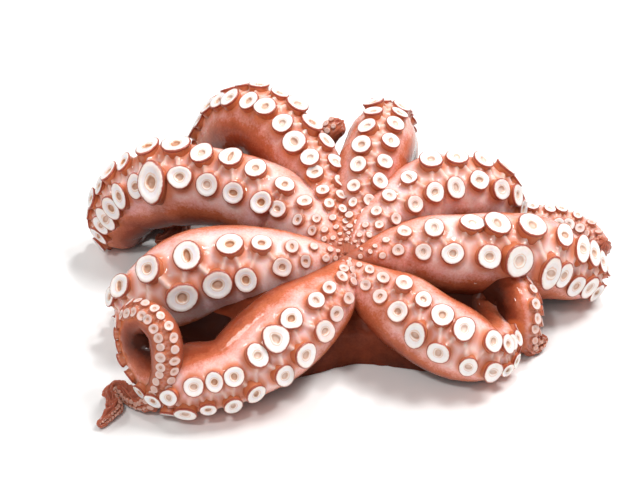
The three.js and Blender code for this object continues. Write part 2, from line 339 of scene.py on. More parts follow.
# %% Places of the suckers
def place_suckers(arm):
    """Where an arm's suckers stand, which way they face, and how large and how pink they are.

    A row lies at ROW_ANGLE width / radius to its side. A sucker stands on the swollen skin, at
    r + lumps + SWELLING width from the arm's path. It is pinker, by 1 - smooth((r - 4) / 11),
    on a thin end, and by PINK_AT_MOUTH crown round the mouth.
    """
    distances, sides, widths = step_along(arm)
    count = len(widths)
    rng = np.random.default_rng(arm["seed"] + 5)
    loose = 1 + LOOSER * fading(distances - arm["distance"][0], 0, LOOSE_OVER)
    moved = distances + rng.normal(0, UNEVEN_STEP, count) * loose * widths
    distances = np.clip(moved, distances[0], None)
    point, along, oral, radius = at(arm, distances)
    start, end = CROWDED.get(arm["name"], (0, 0))
    narrow = np.where((start < distances) & (distances < end), NARROWED, 1)
    angle = sides * ROW_ANGLE * np.minimum(widths / radius, MOST_SHARE) / narrow
    angle += rng.normal(0, UNEVEN_ANGLE, count) * loose
    facing = turned(oral, along, angle)
    height = radius + lumps(arm, distances, angle, radius) + SWELLING * widths
    near_mouth = crown(arm, distances)
    return {
        "width": widths * (1 + rng.normal(0, UNEVEN_WIDTH, count) * loose),
        "narrow": narrow,
        "taller": TALL + TALLER * near_mouth,
        "pinker": np.where(distances > PAST_CROWN, fading(radius, 4, 11), PINK_AT_MOUTH * near_mouth),
        "facing": facing,
        "along": along,
        "base": point + facing * height[:, None],
    }


suckers = {name: place_suckers(arm) for name, arm in arms.items()}
print("suckers:", {name: len(row["width"]) for name, row in suckers.items()})

# %% [markdown]
# ## From arrays to a mesh
#
# Everything on this octopus is a closed shell of rings: an arm runs from mouth to tip, a sucker
# from its root to its middle, the body from pole to pole. One function turns such rings into a
# mesh. Each ring wraps round on itself, and one more point at either end closes the shell, so no
# seam is left open. Values for the materials are kept on the points as named attributes.

# %% Rings to a closed mesh
def ring_faces(rings, start):
    """Faces of one set of shells, whose points are numbered from start. A face has corners
    (i, j), (i, j+1), (i+1, j+1), (i+1, j), and triangles round one more point close each end.
    """
    here = start + np.arange(rings[..., 0].size).reshape(rings.shape[:3])
    after = np.roll(here, -1, axis=2)
    low = start + here.size + np.arange(len(rings))[:, None] + np.zeros(rings.shape[2], int)
    high = low + len(rings)
    sides = np.stack([here[:, :-1], after[:, :-1], after[:, 1:], here[:, 1:]], -1)
    bottoms = np.stack([low, after[:, 0], here[:, 0]], -1)
    tops = np.stack([high, here[:, -1], after[:, -1]], -1)
    return [*sides.reshape(-1, 4).tolist(), *np.concatenate([bottoms, tops]).reshape(-1, 3).tolist()]


def shells(name, sets):
    """One mesh from closed shells. A set is (rings, ends, fields): rings is
    [shell, ring, side, xyz] in millimetres, ends is [shell, 2, xyz], and a field is
    [shell, ring, side].
    """
    points, faces, values, start = [], [], {key: [] for key in sets[0][2]}, 0
    for rings, ends, fields in sets:
        faces += ring_faces(rings, start)
        points += [rings.reshape(-1, 3), ends[:, 0], ends[:, 1]]
        for key, field in fields.items():
            values[key] += [field.ravel(), field[:, 0].mean(axis=1), field[:, -1].mean(axis=1)]
        start += rings[..., 0].size + 2 * len(rings)
    mesh = bpy.data.meshes.new(name)
    mesh.from_pydata(np.concatenate(points) * MM, [], faces)
    for key, parts in values.items():
        mesh.attributes.new(key, "FLOAT", "POINT").data.foreach_set("value", np.concatenate(parts))
    mesh.shade_smooth()
    piece = bpy.data.objects.new(name, mesh)
    bpy.context.scene.collection.objects.link(piece)
    print(f"{name}: {len(mesh.vertices)} points, {len(mesh.polygons)} faces")
    return piece


# %% Flesh on the table
FLATTENING = 1.2  # millimetres over which flesh gives way to the table


def rest_on_table(points):
    """Flesh flattens where it rests: z becomes (z + sqrt(z^2 + e^2)) / 2, which is z well above
    the table, and never under it.
    """
    z = points[..., 2:]
    return np.concatenate([points[..., :2], (z + np.sqrt(z * z + FLATTENING**2)) / 2], -1)


# %% [markdown]
# ## The skin of an arm
#
# The skin is a grid over two numbers: how far along the arm, and the angle round it, with 0 on the
# sucker side. On a bare tube that would look like a hose. Real skin swells under each sucker, and
# thin folds run in a zigzag from each sucker to the next in the other row. It could be sculpted,
# but the places of the suckers are known, so each swelling and fold is a formula of the distance
# to them, added to the radius.

# %% Rings of an arm
SIDES = 112
ORAL_CROWDING = 0.35  # draws the grid's lines together on the sucker side
RING_STEP, RING_SPREAD = 0.34, 0.032  # millimetres, and more for each millimetre of radius


def ring_distances(arm):
    """Distances of the rings, closer together where the arm is thin: a step is 0.34 mm + 0.032 r."""
    step = RING_STEP + RING_SPREAD * arm["radius"]
    counted = np.concatenate([[0], np.cumsum(np.diff(arm["distance"]) / step[1:])])
    return np.interp(np.arange(int(counted[-1]) + 1), counted, arm["distance"])


print("rings:", {name: len(ring_distances(arm)) for name, arm in arms.items()})

# %% Section of an arm
DEEPER = 0.22  # of the outer side of a thick arm than its radius
TO_CENTRE = 0.75  # of the way to a bend's centre, which the skin stays within


def section(arm, distance, angle, outward, radius):
    """The arm's plain radius at each angle, and the room that a bend leaves there, from 0 to 1.

    The radius is r (1 + DEEPER smooth((r - 8) / 8) ((1 - cos a) / 2)^3), and never past the
    centre of a bend, by R' = (R^-4 + M^-4)^(-1/4) with M = TO_CENTRE / (bend . outward).
    """
    deeper = DEEPER * smooth((radius[:, None] - 8) / 8) * ((1 - np.cos(angle)) / 2) ** 3
    plain = radius[:, None] * (1 + deeper)
    inwards = np.sum(read(arm, "bend", distance)[:, None] * outward, axis=-1)
    most = TO_CENTRE / np.maximum(inwards, 1e-3)
    plain = (plain**-4.0 + most**-4.0) ** -0.25
    return plain, np.clip(1 - plain * inwards, 0, 1)


# %% Swellings and folds
FOLD_HEIGHT, FOLD_WIDTH = 0.14, 0.10  # of a sucker's width


def sucker_relief(points, normals, row):
    """Swelling under the suckers, folds between them, and closeness to the nearest sucker.

    With u = |p - sucker| / width, a swelling is 1 - smooth((u - 0.45) / 0.4), and the closeness
    is 1 - smooth((u - 0.5) / 0.35). A fold is exp(-(d / FOLD_WIDTH width)^2), with d the
    distance, in the skin, to the line between one sucker and the next. It fades away from the
    first of the two, by exp(-(x / 2 width)^4) along the line and over u from 1.1 to 1.8, and
    on skin that faces another way.
    """
    swelling, near, fold = np.zeros((3, *points.shape[:-1]))
    for i, (base, width) in enumerate(zip(row["base"], row["width"])):
        away = points - base
        share = np.linalg.norm(away, axis=-1) / width
        swelling = np.maximum(swelling, width * fading(share, 0.45, 0.4))
        near = np.maximum(near, fading(share, 0.5, 0.35))
        if i + 1 == len(row["width"]):
            break
        line = row["base"][i + 1] - base
        t = np.clip(away @ line / (line @ line), 0, 1)
        off = away - t[..., None] * line
        off -= normals * np.sum(off * normals, axis=-1, keepdims=True)
        gap = np.linalg.norm(off, axis=-1) / (FOLD_WIDTH * width)
        reach = np.exp(-((np.abs(away @ unit(line)) / (2 * width)) ** 4))
        this_side = fading(share, 1.1, 0.7) * smooth((normals @ row["facing"][i] - 0.3) / 0.4)
        fold = np.maximum(fold, width * np.exp(-(gap**2)) * reach * this_side)
    return swelling, fold, near


# %% Lumps, knots and wrinkles
WRINKLES, WRINKLE_LENGTH = 0.05, 5  # millimetres
WRINKLES_PULLED = [1, 0.6, 0.6]  # longer round the arm than along it
KNOTS, KNOT_LENGTH = 0.2, 7  # a share of the radius of a thin end, and millimetres
THICK = 14  # millimetres of radius from which wrinkles and folds have their full height


def surface_relief(arm, distance, angle, radius, room):
    """Lumps everywhere, knots where a thin end has r under 8 mm, and wrinkles on the thick part,
    most of them on its outer side. Wrinkles need the room that a bend may not leave.
    """
    places = unrolled(distance, angle)
    tight = waves(places * WRINKLES_PULLED, WRINKLE_LENGTH, arm["seed"] + 1)
    outer = smooth((1 - np.cos(angle)) / 1.2)
    knots = KNOTS * radius * waves(places, KNOT_LENGTH, arm["seed"] + 2)
    height = lumps(arm, distance, angle, radius)
    height = height + knots * fading(radius, 4, 4) * (distance > PAST_CROWN)
    wrinkles = WRINKLES * smooth(radius / THICK) * tight * (0.35 + 0.65 * outer)
    return height + wrinkles * smooth((room - 0.75) / 0.25)


# %% Pale and dark skin
PALER = {"left": 0.02, "front_left": 0.06, "back_right": 0.03, "back_left": -0.08, "back": -0.06}
DARKER = {"front": 0.22, "back_left": 0.15, "left": 0.1}  # of the far part of an arm
FAR, FAR_OVER = 125, 40  # millimetres to the far part, and over what length it darkens
PALE_ROOT = {"left": 0.45, "front_left": 0.42, "front": 0.05}  # of the outer side near the mouth
USUAL_PALE_ROOT, PALE_ROOT_OVER = 0.25, 70
DUSKY = 0.2  # darker round the mouth


def skin_values(arm, distance, angle, radius, fold, near):
    """What the skin's material reads. oral is (1 + cos a) / 2, from 0 on the outer side to 1 on
    the sucker side, plus what makes a stretch paler or darker. thin is 1 - smooth((r - 3) / 9).
    """
    far = smooth((distance - FAR) / FAR_OVER)
    paler = PALER.get(arm["name"], 0) * (1 - far) - DARKER.get(arm["name"], 0) * far
    outer = (1 - np.cos(angle)) / 2
    root = PALE_ROOT.get(arm["name"], USUAL_PALE_ROOT) * fading(distance, 0, PALE_ROOT_OVER) * outer
    return {
        "oral": (1 + np.cos(angle)) / 2 + paler + root - DUSKY * crown(arm, distance),
        "thin": np.broadcast_to(fading(radius, 3, 9), near.shape),
        "fold": fold / (fold.max() + 1e-9),
        "near": near,
    }


# %% Skin of the arms
ROUNDED_TO, TIP_POINT = 0.98, 0.2  # of the tip's radius; the point lies that far past the rings


def arm_skin(arm, row):
    """x(s, a) = c(s) + R(s, a) (cos a . oral + sin a . side), with R the section plus relief,
    which dies away where a bend leaves it no room.

    The radius ends in a round tip: near the end it is times sqrt(1 - t^2).
    """
    distance = ring_distances(arm)
    point, along, oral, radius = at(arm, distance)
    tip = radius[-1]
    radius = radius * np.sqrt(1 - np.clip((distance - distance[-1] + tip) / tip, 0, ROUNDED_TO) ** 2)
    t = np.linspace(0, 2 * np.pi, SIDES, endpoint=False)
    angle = t - ORAL_CROWDING * np.sin(t)
    side = np.cross(along, oral)
    outward = np.cos(angle)[:, None] * oral[:, None] + np.sin(angle)[:, None] * side[:, None]
    reach, room = section(arm, distance, angle, outward, radius)
    plain = point[:, None] + outward * reach[..., None]

    distance, radius = distance[:, None], radius[:, None]
    swelling, fold, near = sucker_relief(plain, outward, row)
    height = surface_relief(arm, distance, angle, radius, room)
    height = height + SWELLING * swelling + FOLD_HEIGHT * fold * smooth(radius / THICK)
    height = height * smooth(room / 0.4)
    surface = rest_on_table(plain + outward * height[..., None])
    ends = rest_on_table(np.stack([point[0], point[-1] + along[-1] * TIP_POINT * tip]))
    fields = skin_values(arm, distance, angle, radius, fold, near)
    return surface[None], ends[None], {key: field[None] for key, field in fields.items()}


skins = [shells("skin_" + name, [arm_skin(arm, suckers[name])]) for name, arm in arms.items()]

# %% [markdown]
# ## Suckers
#
# A boiled sucker is a white cushion with a hole in the middle, on a short orange stalk, with a thin
# brown line round its rim. It is round only in theory: rims wobble, cushions tilt, holes are pulled
# into slits. A ready-made torus would look like a washer. Here one profile is turned about the
# sucker's axis, and each sucker pulls it out of round by its own random amounts.

# %% Profiles of a sucker
# Radius and height as shares of the width, and a band that the material reads: 0 stalk,
# 0.3 underside, 0.4 rim line, 0.5 to 0.7 cushion, 0.8 edge of the hole, 1 its floor.
SUCKER = np.array([
    [0.50, -0.28, 0.00], [0.485, -0.02, 0.08], [0.475, 0.07, 0.16], [0.480, 0.130, 0.26],
    [0.500, 0.165, 0.34], [0.518, 0.192, 0.38], [0.508, 0.222, 0.42], [0.475, 0.236, 0.47],
    [0.430, 0.246, 0.52], [0.355, 0.238, 0.58], [0.280, 0.214, 0.66], [0.210, 0.224, 0.74],
    [0.160, 0.208, 0.80], [0.130, 0.165, 0.88], [0.065, 0.150, 0.94],
])
SMALL_SUCKER = np.array([
    [0.48, -0.26, 0.00], [0.48, 0.06, 0.20], [0.51, 0.17, 0.38], [0.44, 0.225, 0.52],
    [0.19, 0.20, 0.78],
])
CENTRE = 0.155  # height of the hole's middle
SMALL_UNDER = 5.5  # millimetres; a smaller sucker gets the plainer profile
BIG_SIDES, SMALL_SIDES = 30, 12
print("rings of a sucker:", len(SUCKER), "or", len(SMALL_SUCKER))

# %% Turned and pulled out of round
TILTED, OUT_OF_ROUND, UNEVEN_HEIGHT = 0.07, 0.05, 0.08
SQUEEZED_RIM, SQUEEZED_HOLE, MOST_SQUEEZED = 0.05, 0.16, 0.4
UNEVEN_TONE = 0.2


def tilted_frame(row, chosen, rng):
    """Facing, u and v of the chosen suckers: square to each other, and tilted a little."""
    facing, u = row["facing"][chosen], row["along"][chosen]
    tilt = rng.normal(0, TILTED, (2, len(u), 1))
    v = np.cross(facing, u)
    facing = unit(facing + tilt[0] * u + tilt[1] * v)
    u = unit(u - facing * np.sum(u * facing, axis=1, keepdims=True))
    return facing, u, np.cross(facing, u)


def turned_profiles(row, chosen, profile, sides, seed, hole_tone_and_shade):
    """x(k, t) = base + w r_k (1 + wobble(t)) (p cos t . u + sin t / p . v) + w h z_k . facing.

    wobble is a few random cosines of 2 to 4 waves, p squeezes the rim and the hole by different
    amounts, and h makes suckers taller, most of all round the mouth.
    """
    rng = np.random.default_rng(seed)
    facing, u, v = tilted_frame(row, chosen, rng)
    base, width = row["base"][chosen], row["width"][chosen]
    each = (len(width), 1, 1)
    t = np.linspace(0, 2 * np.pi, sides, endpoint=False)
    wobble = sum(
        rng.normal(0, OUT_OF_ROUND / k, each) * np.cos(k * t + rng.uniform(0, 2 * np.pi, each))
        for k in (2, 3, 4)
    )
    inner = smooth((profile[:, 2] - 0.66) / 0.14)[None, :, None]  # 0 on the rim, 1 in the hole
    rim_squeeze = row["narrow"][chosen, None, None] * (1 + rng.normal(0, SQUEEZED_RIM, each))
    hole_squeeze = 1 + np.clip(rng.normal(0, SQUEEZED_HOLE, each), -MOST_SQUEEZED, MOST_SQUEEZED)
    squeeze = rim_squeeze * (1 - inner) + hole_squeeze * inner
    radius = profile[:, 0][None, :, None] * (1 + wobble) * width[:, None, None]
    tall = width * row["taller"][chosen]
    height = profile[:, 1][None, :, None] * tall[:, None, None] * rng.normal(1, UNEVEN_HEIGHT, each)
    rings = (
        base[:, None, None]
        + (radius * squeeze * np.cos(t))[..., None] * u[:, None, None]
        + (radius / squeeze * np.sin(t))[..., None] * v[:, None, None]
        + height[..., None] * facing[:, None, None]
    )
    floor = profile[0, 1], CENTRE
    ends = np.stack([base + facing * tall[:, None] * level for level in floor], axis=1)
    tone_and_shade = np.clip(rng.normal(hole_tone_and_shade, UNEVEN_TONE, each), 0, 1)
    fields = {"band": profile[:, 2][None, :, None], "hole": tone_and_shade, "thin": row["pinker"][chosen, None, None]}
    fields = {key: np.broadcast_to(field, rings.shape[:3]) for key, field in fields.items()}
    return rest_on_table(rings), rest_on_table(ends), fields


# %% Suckers of the arms
# Highest on the arms that lie in shade: partly the holes' own orange and partly painted shade, and it also
# brings in the painted lavender shade of the dish.
HOLE_TONE_AND_SHADE = {  # how deep the orange in the holes is, from 0 to 1
    "back_left": 0.45, "left": 0.7, "front_left": 0.8, "front": 0.55, "front_right": 0.45,
    "right": 0.3, "back_right": 0.4, "back": 0.3,
}
cushions = []
for seed, (name, row) in enumerate(suckers.items()):
    small = row["width"] < SMALL_UNDER
    cushions.append(shells("suckers_" + name, [
        turned_profiles(row, ~small, SUCKER, BIG_SIDES, 100 + seed, HOLE_TONE_AND_SHADE[name]),
        turned_profiles(row, small, SMALL_SUCKER, SMALL_SIDES, 200 + seed, HOLE_TONE_AND_SHADE[name]),
    ]))

# %% [markdown]
# ## The body under the arms
#
# Under the arms lie the crown, where they join, the bag of the head, and the skin that hangs
# between the two front arms down to the table. They blend into each other with no crease. Merging
# meshes would leave sharp seams, so the body is worked out as a distance in every direction from
# one point inside it: how far a ray goes before it leaves each rounded form. A soft maximum of
# those distances blends them, and also fills the valleys between the arms' roots with webbing.

# %% Body
HEART = np.array([15.0, -12.0, 24.0])  # the point inside, in the table's coordinates
BODIES = {  # x, y, z, half width, half depth, half height
    "crown": (14, -6, 28, 42, 44, 22),
    "bag": (10, 26, 32, 46, 62, 34),
    "front_skin": (26, -34, 6, 34, 18, 24),
}
SOFTNESS = 2.0  # millimetres of blending
UNDER_MOUTH, FLAT_TOP, RIM_SLOPE = 53, 10, 0.2  # height of the top, flat so far, then rising
BODY_LUMPS = [(0.9, 26), (0.3, 7)]  # height and length
BODY_TONE, CROWN_TONE = 0.12, 0.48  # how pale the body is, and how much more round the mouth
BALLS_END, BALLS_STEP = 60, 3  # millimetres along an arm's root
BALL, BIGGER, BIGGER_OVER = 0.35, 0.49, 40  # of the arm's radius, how much more, over what length
BODY_RINGS, BODY_SIDES = 200, 280


def leaving_ellipsoid(directions, middle, half):
    """The larger root t of |(heart + t d - middle) / half| = 1, or 0 where the ray misses."""
    d = directions / half
    q = (np.array(middle) - HEART) / half
    a, b, c = np.sum(d * d, axis=-1), d @ q, q @ q - 1
    inside = b * b - a * c
    return np.where(inside > 0, (b + np.sqrt(np.maximum(inside, 0))) / a, 0)


def leaving_root(directions, arm):
    """The furthest exit from balls strung along an arm's root, a little inside its skin."""
    distance = np.arange(0, BALLS_END, BALLS_STEP)
    point, _, _, radius = at(arm, distance)
    radius = radius * (BALL + BIGGER * smooth(distance / BIGGER_OVER))
    exits = [leaving_ellipsoid(directions, p + MIDDLE, r) for p, r in zip(point, radius)]
    return np.max(exits, axis=0)


def bare_values(oral):
    """What the material reads on skin with no suckers."""
    zero = np.zeros(oral.shape)
    return {"oral": oral[None], "thin": zero[None], "fold": zero[None], "near": zero[None]}


def body_skin():
    """x(e, a) = heart + R(d) d, with d the unit vector at elevation e and azimuth a, and
    R = k log(sum exp(R_i / k)) over the rounded forms i. A soft minimum keeps the top low.
    """
    elevation = np.linspace(-np.pi / 2, np.pi / 2, BODY_RINGS + 2)[1:-1, None]
    azimuth = np.linspace(0, 2 * np.pi, BODY_SIDES, endpoint=False)[None, :]
    directions = np.stack(np.broadcast_arrays(
        np.cos(elevation) * np.cos(azimuth), np.cos(elevation) * np.sin(azimuth), np.sin(elevation)
    ), -1)
    exits = [leaving_ellipsoid(directions, form[:3], np.array(form[3:])) for form in BODIES.values()]
    exits += [leaving_root(directions, arm) for arm in arms.values()]
    reach = SOFTNESS * np.log(np.sum(np.exp(np.array(exits) / SOFTNESS), axis=0))
    points = HEART - MIDDLE + reach[..., None] * directions
    uneven = sum(high * waves(points, length, 300 + i) for i, (high, length) in enumerate(BODY_LUMPS))
    points = rest_on_table(points + uneven[..., None] * directions)
    from_mouth = np.linalg.norm(points[..., :2] - (np.array(MOUTH[:2]) - MIDDLE[:2]), axis=-1)
    most = UNDER_MOUTH + RIM_SLOPE * np.maximum(from_mouth - FLAT_TOP, 0)
    points[..., 2] -= SOFTNESS * np.log1p(np.exp((points[..., 2] - most) / SOFTNESS))
    ends = np.stack([points[0].mean(axis=0), points[-1].mean(axis=0)])
    oral = BODY_TONE + CROWN_TONE * fading(from_mouth, 15, 35) * smooth((points[..., 2] - 30) / 15)
    return points[None], ends[None], bare_values(oral)


body = shells("body", [body_skin()])

# %% [markdown]
# ## Webs
#
# A skin joins each arm to the next over the first quarter of its length. Seen from the mouth it is a
# floor to the valley between two arms, and its free edge is scalloped. A flat sheet between two
# curves would do, but it has no thickness and no rounded edge. So a web is a flat tube instead,
# carried across from one arm to the next, with the arms' own paths as its two ends.

# %% Webs between the arms
WEB_SIDES, WEB_RINGS = 90, 60
RISE_OVER = 45  # millimetres from the mouth over which a web rises to its full height
WEB_LUMPS, WEB_LUMP_LENGTH = 0.5, 9  # millimetres, mostly up and down
PALE_AT_MOUTH = 0.7


def web_skin(first, second, reach, scallop, slack, above, below, hang, fade, dark, under, seed):
    """x(t, a): across from one arm's path (t = 0) to the next one's (t = 1), and round a flat loop.

    The loop's point lies at s = reach (1 - scallop 4t(1 - t)) q from the first station, with
    q = (1 + cos a) / 2, or q^hang on the underside, and sags by slack sin(pi t), less near the
    root. It goes up by above sin a, less over the roots, and down by below sin a. Its colour
    value falls to dark over the distance fade, and is under on the underside.
    """
    t = np.linspace(0, 1, WEB_RINGS)[:, None]
    loop = np.linspace(0, 2 * np.pi, WEB_SIDES, endpoint=False)[None, :]
    up = np.sin(loop) > 0
    out = ((1 + np.cos(loop)) / 2) ** np.where(up, 1, hang)
    distance = reach * (1 - scallop * 4 * t * (1 - t)) * out
    one, other = (at(arms[name], distance)[0] for name in (first, second))
    points = one + (other - one) * t[..., None]
    crest = above * smooth(distance / RISE_OVER)
    points[..., 2] += np.where(up, crest, below) * np.sin(loop)
    points[..., 2] -= slack * np.sin(np.pi * t) * smooth(out * 1.4)
    points += WEB_LUMPS * waves(points, WEB_LUMP_LENGTH, seed)[..., None] * [0, 0.4, 1]
    points = rest_on_table(points)
    ends = np.stack([points[0].mean(axis=0), points[-1].mean(axis=0)])
    oral = np.where(up, dark + PALE_AT_MOUTH * fading(distance, fade / 4, fade), under)
    return points[None], ends[None], bare_values(oral)


# %% Eight webs
PLAIN_WEB = {
    "reach": 66, "scallop": 0.35, "slack": 8, "above": 7, "below": 10, "hang": 1, "fade": 50,
    "dark": 0.05, "under": 0.05,
}
WEBS = {  # where one differs from a plain web; each is named for the first of its two arms
    "left": {"reach": 90, "scallop": 0.3, "slack": 12, "above": 6, "below": 8},
    # This web hangs far down under the left front arm as a dark wall: painted shade that fills the shadow
    # beneath that arm.
    "front_left": {
        "reach": 150, "scallop": 0.5, "slack": 6, "above": 14, "below": 36, "hang": 0.3, "dark": 0.4,
    },
    "front": {
        "reach": 74, "scallop": 0.4, "slack": 12, "below": 40, "hang": 0.4, "fade": 30, "dark": 0.3,
        "under": 0.3,
    },
    "front_right": {"reach": 104, "scallop": 0.25, "slack": 16, "above": 6, "below": 8},
    "back": {"reach": 90, "scallop": 0.2, "slack": 2, "above": 8, "fade": 110, "dark": 0.3},
}
names = list(ARMS)
webs = []
for i, name in enumerate(names):
    shape = PLAIN_WEB | WEBS.get(name, {})
    webs.append(shells("web_" + name, [web_skin(name, names[(i + 1) % len(names)], **shape, seed=400 + i)]))

# %% [markdown]
# ## Wet boiled skin
#
# Boiling turns the pigment brown-red on the outer side of the arms and leaves the sucker side pale
# pink. The change isn't a line: it drifts, with freckles of pigment in it. One flat colour with gloss
# would look like plastic. So the colour is read from the angle round the arm, shifted by noise, and
# light is let into the flesh, which makes the thin edges and the creases glow orange. The colour also
# holds orange round the suckers, partly the skin's own and partly painted shade and glow, painted
# shade beside the folds, a painted highlight on the folds, and a painted lilac sheen at random.

# %% Nodes for materials
def new_material(name):
    """A material with its Principled shader, and its tree."""
    material = bpy.data.materials.new(name)
    material.use_nodes = True
    return material, material.node_tree, material.node_tree.nodes["Principled BSDF"]


def add(tree, kind, settings=None, **inputs):
    """A node with settings on it, and its sockets set to numbers or linked to other sockets. A
    socket goes by its name, or by its number after a _.
    """
    new = tree.nodes.new(kind)
    for key, value in (settings or {}).items():
        setattr(new, key, value)
    for key, value in inputs.items():
        socket = new.inputs[int(key[1:])] if key[0] == "_" else new.inputs[key]
        if isinstance(value, bpy.types.NodeSocket):
            tree.links.new(value, socket)
        else:
            socket.default_value = value
    return new


def attribute(tree, name):
    """The value of a named attribute of the mesh."""
    return add(tree, "ShaderNodeAttribute", {"attribute_name": name}).outputs["Fac"]


def calculate(tree, operation, a, b, clamp=False):
    """One sum of two numbers."""
    return add(tree, "ShaderNodeMath", {"operation": operation, "use_clamp": clamp}, _0=a, _1=b).outputs[0]


def noise(tree, scale, detail=3.0, roughness=0.5):
    """Smooth noise from about 0.3 to 0.7 in space, with scale features to a metre."""
    place = add(tree, "ShaderNodeTexCoord").outputs["Object"]
    pattern = {"Vector": place, "Scale": scale, "Detail": detail, "Roughness": roughness}
    return add(tree, "ShaderNodeTexNoise", **pattern).outputs["Fac"]


def wander(tree, amount, *pattern):
    """Noise about zero: amount (noise - 0.5)."""
    centred = calculate(tree, "SUBTRACT", noise(tree, *pattern), 0.5)
    return calculate(tree, "MULTIPLY", centred, amount)


# %% Colours for materials
def ramp(tree, factor, stops):
    """A colour from a number: stops are (place, (red, green, blue))."""
    new = add(tree, "ShaderNodeValToRGB", Fac=factor)
    elements = new.color_ramp.elements
    while len(elements) < len(stops):
        elements.new(1.0)
    for element, (place, colour) in zip(elements, stops):
        element.position = place
        element.color = (*colour, 1)
    return new.outputs["Color"]


def blend(tree, factor, a, b, kind="MIX"):
    """Colour a with b laid over it by factor."""
    new = add(tree, "ShaderNodeMix", {"data_type": "RGBA", "blend_type": kind})
    for socket, value in zip((new.inputs[0], new.inputs[6], new.inputs[7]), (factor, a, b)):
        if isinstance(value, bpy.types.NodeSocket):
            tree.links.new(value, socket)
        else:
            socket.default_value = value if isinstance(value, float) else (*value, 1)
    return new.outputs[2]


# %% Surfaces for materials
def bump(tree, strength, distance, height, **under):
    """A normal that leans as if the surface rose by distance, in metres, times height."""
    sockets = {"Strength": strength, "Distance": distance, "Height": height, **under}
    return add(tree, "ShaderNodeBump", **sockets).outputs["Normal"]


def uneven_gloss(tree, scale, least, most):
    """Roughness that drifts with noise from least to most."""
    return ramp(tree, noise(tree, scale), [(0.3, (least,) * 3), (0.7, (most,) * 3)])


def finish_shader(tree, shader, colour, normal, roughness, even):
    """The shader's links, and on its own sockets the numbers that are even all over."""
    for name, socket in {"Base Color": colour, "Normal": normal, "Roughness": roughness}.items():
        tree.links.new(socket, shader.inputs[name])
    for name, value in even.items():
        shader.inputs[name].default_value = value


# %% Skin
PIGMENT, RUSSET, SALMON = (0.06, 0.014, 0.008), (0.27, 0.052, 0.02), (0.55, 0.145, 0.068)
# The last colour here is a painted lilac sheen.
PINK, PALE, LILAC_SHEEN = (0.78, 0.355, 0.29), (0.9, 0.63, 0.59), (0.97, 0.96, 1.05)
# The second colour here is orange, partly the skin's own round the suckers and partly painted shade and
# glow in creases; the third is a painted highlight for the folds.
TIP, CREASE_ORANGE_AND_SHADE, FOLD_HIGHLIGHT = (0.38, 0.11, 0.065), (0.62, 0.155, 0.045), (0.95, 0.78, 0.73)
UNCHANGED = (1, 1, 1)


def skin_colour(tree):
    """Pale to pigment by the angle round the arm, which noise shifts, with a painted lilac sheen at
    random. Then orange round the suckers, partly the skin's own and partly painted shade and glow, painted
    shade beside the folds, a painted highlight on the folds, and brown on a thin end.
    """
    shifted = calculate(tree, "ADD", attribute(tree, "oral"), wander(tree, 0.45, 50.0, 5.0, 0.6))
    place = calculate(tree, "ADD", shifted, wander(tree, 0.22, 700.0, 5.0, 0.7), clamp=True)
    depth = [(0.18, PIGMENT), (0.52, RUSSET), (0.71, SALMON), (0.81, PINK), (0.94, PALE)]
    # A painted lilac sheen, laid on at random by noise.
    lilac = ramp(tree, noise(tree, 70.0), [(0.5, UNCHANGED), (0.7, LILAC_SHEEN)])
    colour = blend(tree, 1.0, ramp(tree, place, depth), lilac, "MULTIPLY")
    # Orange round each sucker's foot: partly the skin's own, partly painted shade and glow in the crease.
    near = calculate(tree, "MULTIPLY", attribute(tree, "near"), 0.85)
    colour = blend(tree, near, colour, CREASE_ORANGE_AND_SHADE)
    fold = attribute(tree, "fold")
    # Orange on both sides of a fold is painted shade in the valleys between folds.
    fold_flank_shade = calculate(tree, "MULTIPLY", fold, calculate(tree, "SUBTRACT", 1.0, fold))
    colour = blend(tree, calculate(tree, "MULTIPLY", fold_flank_shade, 1.6), colour, CREASE_ORANGE_AND_SHADE)
    # The pale on a fold's crest is a painted highlight.
    colour = blend(tree, calculate(tree, "MULTIPLY", fold, 0.7), colour, FOLD_HIGHLIGHT)
    return blend(tree, attribute(tree, "thin"), colour, TIP)


def wet_skin(name, coat):
    """Skin with swells and a fine grain, light let in about 5 mm deep, and a coat of water."""
    material, tree, shader = new_material(name)
    swell = bump(tree, 0.45, 0.0008, noise(tree, 160.0))
    grain = bump(tree, 0.35, 0.0003, noise(tree, 900.0, 4.0, 0.6), Normal=swell)
    finish_shader(tree, shader, skin_colour(tree), grain, uneven_gloss(tree, 120.0, 0.38, 0.55), {
        "Subsurface Weight": 0.4, "Subsurface Radius": (1.0, 0.32, 0.18), "Subsurface Scale": 0.005,
        "Specular IOR Level": 0.0,
        "Coat Weight": coat, "Coat Roughness": 0.06, "Coat IOR": 1.33,
    })
    return material


skin = wet_skin("wet_boiled_skin", 0.75)
web_skin_material = wet_skin("boiled_web_skin", 0.3)
print("nodes in each skin:", len(skin.node_tree.nodes))

# %% [markdown]
# ## Sucker flesh
#
# A sucker changes colour ring by ring: orange stalk, brown line at the rim, white cushion, and a hole
# that is tan to orange. Painting it by distance from the axis would need a texture for each sucker. The
# band attribute already says which ring of the profile a point is on, so one colour ramp paints all.
# A second ramp, used most on the arms that lie in shade, paints lavender shade into the dish and a
# deeper orange hole, partly the hole's own colour and partly painted shade.

# %% Sucker flesh
STALK, UNDER, RIM = (0.5, 0.12, 0.04), (0.58, 0.18, 0.075), (0.35, 0.07, 0.035)
# The third colour here is painted lavender shade for the dish.
WHITE, CUSHION, DISH_SHADE = (0.88, 0.78, 0.73), (0.9, 0.86, 0.84), (0.82, 0.78, 0.81)
RING, HOLE_EDGE, HOLE_DEEP = (0.76, 0.52, 0.4), (0.68, 0.38, 0.22), (0.42, 0.15, 0.06)
PINK_CUSHION, STAIN = (0.58, 0.25, 0.17), (0.9, 0.72, 0.62)


